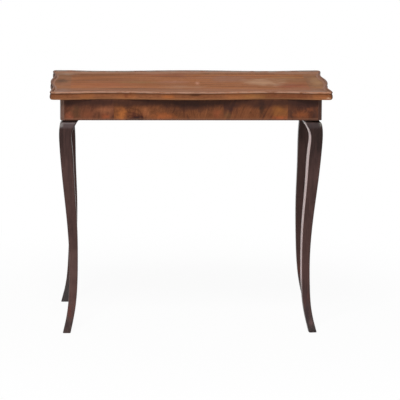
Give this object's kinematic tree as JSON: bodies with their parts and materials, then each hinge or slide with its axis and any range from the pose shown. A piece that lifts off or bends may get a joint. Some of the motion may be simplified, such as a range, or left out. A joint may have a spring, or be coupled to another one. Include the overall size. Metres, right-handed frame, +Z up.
{
  "type": "tray top tea table",
  "caption": "Small side table with a serpentine tray top, raised moulded rim, veneered frieze and slim dark cabriole legs.",
  "frame": {"origin": "on the floor, under the middle of the top", "axes": "+X along the table's length to the right, +Y towards the back, +Z up"},
  "size_m": [0.827, 0.502, 0.72],
  "materials": {
    "field_walnut": "worn french polish over straight walnut grain",
    "crossband_walnut": "worn french polish over cross-laid walnut",
    "rim_walnut": "french polished walnut moulding",
    "frieze_walnut": "french polished figured walnut veneer",
    "quadrant_walnut": "french polished walnut",
    "stained_legs": "dark stained and polished hardwood",
    "core_pine": "planed, bare, darkened with age",
    "frame_pine": "planed, bare, darkened with age",
    "screw_steel": "dull, slightly rusted"
  },
  "bodies": {
    "root": {"top_board_front": "core_pine", "top_board_middle": "core_pine", "top_board_back": "core_pine", "field_veneer": "field_walnut", "crossband_front": "crossband_walnut", "crossband_back": "crossband_walnut", "crossband_left": "crossband_walnut", "crossband_right": "crossband_walnut", "rim_front": "rim_walnut", "rim_back": "rim_walnut", "rim_left": "rim_walnut", "rim_right": "rim_walnut", "rail_front": "frame_pine", "rail_back": "frame_pine", "rail_left": "frame_pine", "rail_right": "frame_pine", "frieze_veneer_front_1": "frieze_walnut", "frieze_veneer_front_2": "frieze_walnut", "frieze_veneer_front_3": "frieze_walnut", "frieze_veneer_front_4": "frieze_walnut", "frieze_veneer_back": "frieze_walnut", "frieze_veneer_left": "frieze_walnut", "frieze_veneer_right": "frieze_walnut", "quadrant_front_left": "quadrant_walnut", "quadrant_front_right": "quadrant_walnut", "quadrant_back_left": "quadrant_walnut", "quadrant_back_right": "quadrant_walnut", "corner_post_front_left": "frame_pine", "corner_post_front_right": "frame_pine", "corner_post_back_left": "frame_pine", "corner_post_back_right": "frame_pine", "leg_front_left": "stained_legs", "leg_front_right": "stained_legs", "leg_back_left": "stained_legs", "leg_back_right": "stained_legs", "cross_brace": "frame_pine", "end_batten_left": "frame_pine", "end_batten_right": "frame_pine", "glue_blocks": "frame_pine", "top_screws": "screw_steel"}
  },
  "joints": []
}
